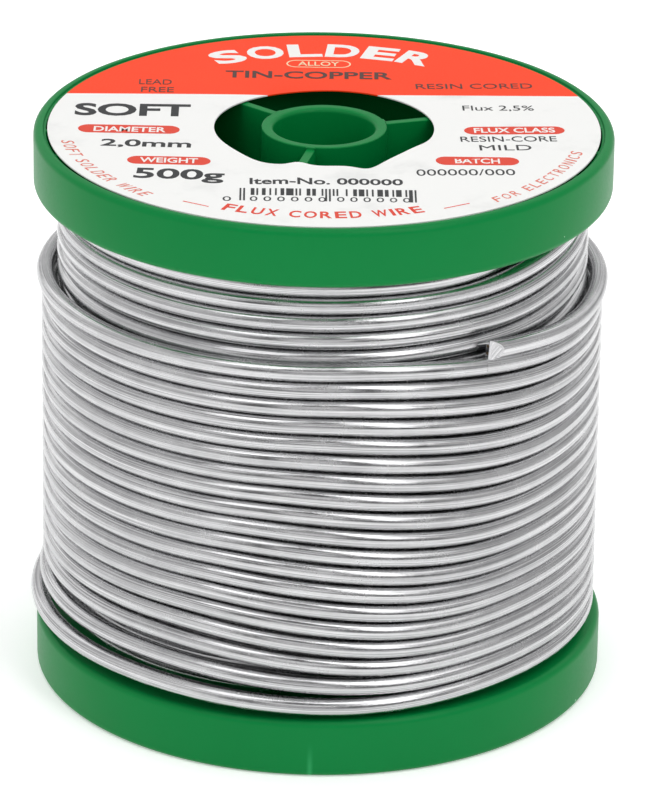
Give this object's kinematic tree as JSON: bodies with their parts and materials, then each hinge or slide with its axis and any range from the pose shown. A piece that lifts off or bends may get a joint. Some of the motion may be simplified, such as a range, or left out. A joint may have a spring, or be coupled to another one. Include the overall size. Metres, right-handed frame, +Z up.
{
  "type": "solder wire spool",
  "caption": "Flanged moulded spool with a hub bore, rib-backed flanges and a ring label, closely wound with flux-cored solder wire.",
  "frame": {"origin": "centre of the lower rim's plane, on the spool's axis", "axes": "+Z up along the spool's axis; -Y is the side where the wire's cut end lies; +X is to the right when looking along +Y"},
  "size_m": [0.0637, 0.0634, 0.063],
  "materials": {
    "green_plastic": "moulded green polystyrene, satin gloss",
    "label_paper": "coated white paper label printed orange-red and black",
    "solder_wire": "drawn tin-copper solder wire, satin silver",
    "flux": "dark amber flux resin"
  },
  "bodies": {
    "root": {"spool_body": "green_plastic", "top_label": "label_paper", "wire_layer_1": "solder_wire", "wire_layer_2": "solder_wire", "wire_layer_3": "solder_wire", "wire_layer_4": "solder_wire", "wire_layer_5": "solder_wire", "wire_layer_6": "solder_wire", "wire_layer_7": "solder_wire", "wire_bottom_turn": "solder_wire", "wire_top_turn": "solder_wire", "wire_free_end": "solder_wire", "flux_core_1": "flux", "flux_core_2": "flux"}
  },
  "joints": []
}
